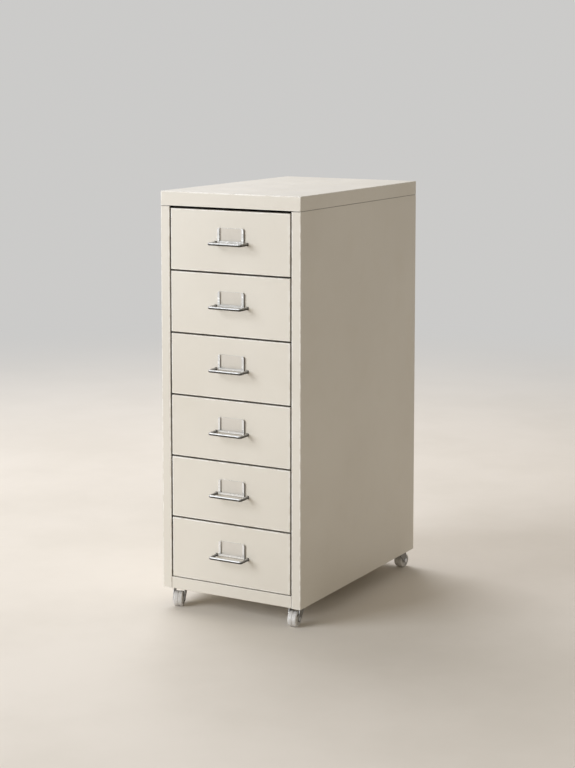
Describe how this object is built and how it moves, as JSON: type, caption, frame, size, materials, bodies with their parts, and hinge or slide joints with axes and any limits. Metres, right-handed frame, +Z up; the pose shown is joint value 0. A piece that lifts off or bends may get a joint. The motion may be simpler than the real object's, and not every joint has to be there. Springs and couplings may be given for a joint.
{
  "type": "drawer cabinet",
  "caption": "Narrow sheet-steel drawer cabinet on swivel casters, with full-width drawers, chromed bar pulls and label frames.",
  "frame": {"origin": "on the floor, under the middle of the whole box, pulls included", "axes": "+Z up, front of the cabinet towards -Y, +X to the viewer's right from the front"},
  "size_m": [0.27, 0.4566, 0.716],
  "materials": {
    "cream_steel": "cream powder coat, satin",
    "chrome": "bright chrome plate",
    "zinc": "zinc-plated steel",
    "paper": "blank card",
    "wheel_plastic": "off-white moulded plastic, satin"
  },
  "bodies": {
    "cabinet": {"side_panel_left": "cream_steel", "side_panel_right": "cream_steel", "top_cover": "cream_steel", "back_panel": "cream_steel", "base_pan": "cream_steel", "caster_sockets": "zinc", "caster_stems": "zinc", "case_screws": "zinc", "runners_1": "zinc", "runners_2": "zinc", "runners_3": "zinc", "runners_4": "zinc", "runners_5": "zinc", "runners_6": "zinc"},
    "drawer_1": {"drawer_1_tray": "cream_steel", "drawer_1_front": "cream_steel", "drawer_1_label_frame": "chrome", "drawer_1_label_card": "paper", "drawer_1_pull": "chrome"},
    "drawer_2": {"drawer_2_tray": "cream_steel", "drawer_2_front": "cream_steel", "drawer_2_label_frame": "chrome", "drawer_2_label_card": "paper", "drawer_2_pull": "chrome"},
    "drawer_3": {"drawer_3_tray": "cream_steel", "drawer_3_front": "cream_steel", "drawer_3_label_frame": "chrome", "drawer_3_label_card": "paper", "drawer_3_pull": "chrome"},
    "drawer_4": {"drawer_4_tray": "cream_steel", "drawer_4_front": "cream_steel", "drawer_4_label_frame": "chrome", "drawer_4_label_card": "paper", "drawer_4_pull": "chrome"},
    "drawer_5": {"drawer_5_tray": "cream_steel", "drawer_5_front": "cream_steel", "drawer_5_label_frame": "chrome", "drawer_5_label_card": "paper", "drawer_5_pull": "chrome"},
    "drawer_6": {"drawer_6_tray": "cream_steel", "drawer_6_front": "cream_steel", "drawer_6_label_frame": "chrome", "drawer_6_label_card": "paper", "drawer_6_pull": "chrome"},
    "caster_front_left": {"caster_front_left_fork": "chrome", "caster_front_left_axle": "zinc"},
    "caster_front_left_roller": {"caster_front_left_wheel": "wheel_plastic"},
    "caster_front_right": {"caster_front_right_fork": "chrome", "caster_front_right_axle": "zinc"},
    "caster_front_right_roller": {"caster_front_right_wheel": "wheel_plastic"},
    "caster_back_left": {"caster_back_left_fork": "chrome", "caster_back_left_axle": "zinc"},
    "caster_back_left_roller": {"caster_back_left_wheel": "wheel_plastic"},
    "caster_back_right": {"caster_back_right_fork": "chrome", "caster_back_right_axle": "zinc"},
    "caster_back_right_roller": {"caster_back_right_wheel": "wheel_plastic"}
  },
  "joints": [
    {"name": "drawer_1_slide", "type": "slide", "parent": "cabinet", "child": "drawer_1", "axis": [0, -1, 0], "range_m": [0, 0.3]},
    {"name": "drawer_2_slide", "type": "slide", "parent": "cabinet", "child": "drawer_2", "axis": [0, -1, 0], "range_m": [0, 0.3]},
    {"name": "drawer_3_slide", "type": "slide", "parent": "cabinet", "child": "drawer_3", "axis": [0, -1, 0], "range_m": [0, 0.3]},
    {"name": "drawer_4_slide", "type": "slide", "parent": "cabinet", "child": "drawer_4", "axis": [0, -1, 0], "range_m": [0, 0.3]},
    {"name": "drawer_5_slide", "type": "slide", "parent": "cabinet", "child": "drawer_5", "axis": [0, -1, 0], "range_m": [0, 0.3]},
    {"name": "drawer_6_slide", "type": "slide", "parent": "cabinet", "child": "drawer_6", "axis": [0, -1, 0], "range_m": [0, 0.3]},
    {"name": "caster_front_left_swivel", "type": "hinge", "parent": "cabinet", "child": "caster_front_left", "pos_m": [-0.115, -0.1793, 0.0319], "axis": [0, 0, 1], "continuous": true},
    {"name": "caster_front_left_roll", "type": "hinge", "parent": "caster_front_left", "child": "caster_front_left_roller", "pos_m": [-0.11124, -0.18964, 0.013], "axis": [0.9397, 0.342, 0], "continuous": true},
    {"name": "caster_front_right_swivel", "type": "hinge", "parent": "cabinet", "child": "caster_front_right", "pos_m": [0.115, -0.1793, 0.0319], "axis": [0, 0, 1], "continuous": true},
    {"name": "caster_front_right_roll", "type": "hinge", "parent": "caster_front_right", "child": "caster_front_right_roller", "pos_m": [0.11615, -0.19024, 0.013], "axis": [0.9945, 0.1045, 0], "continuous": true},
    {"name": "caster_back_left_swivel", "type": "hinge", "parent": "cabinet", "child": "caster_back_left", "pos_m": [-0.115, 0.2027, 0.0319], "axis": [0, 0, 1], "continuous": true},
    {"name": "caster_back_left_roll", "type": "hinge", "parent": "caster_back_left", "child": "caster_back_left_roller", "pos_m": [-0.11653, 0.21359, 0.013], "axis": [-0.9903, -0.1392, 0], "continuous": true},
    {"name": "caster_back_right_swivel", "type": "hinge", "parent": "cabinet", "child": "caster_back_right", "pos_m": [0.115, 0.2027, 0.0319], "axis": [0, 0, 1], "continuous": true},
    {"name": "caster_back_right_roll", "type": "hinge", "parent": "caster_back_right", "child": "caster_back_right_roller", "pos_m": [0.11653, 0.21359, 0.013], "axis": [-0.9903, 0.1392, 0], "continuous": true}
  ]
}
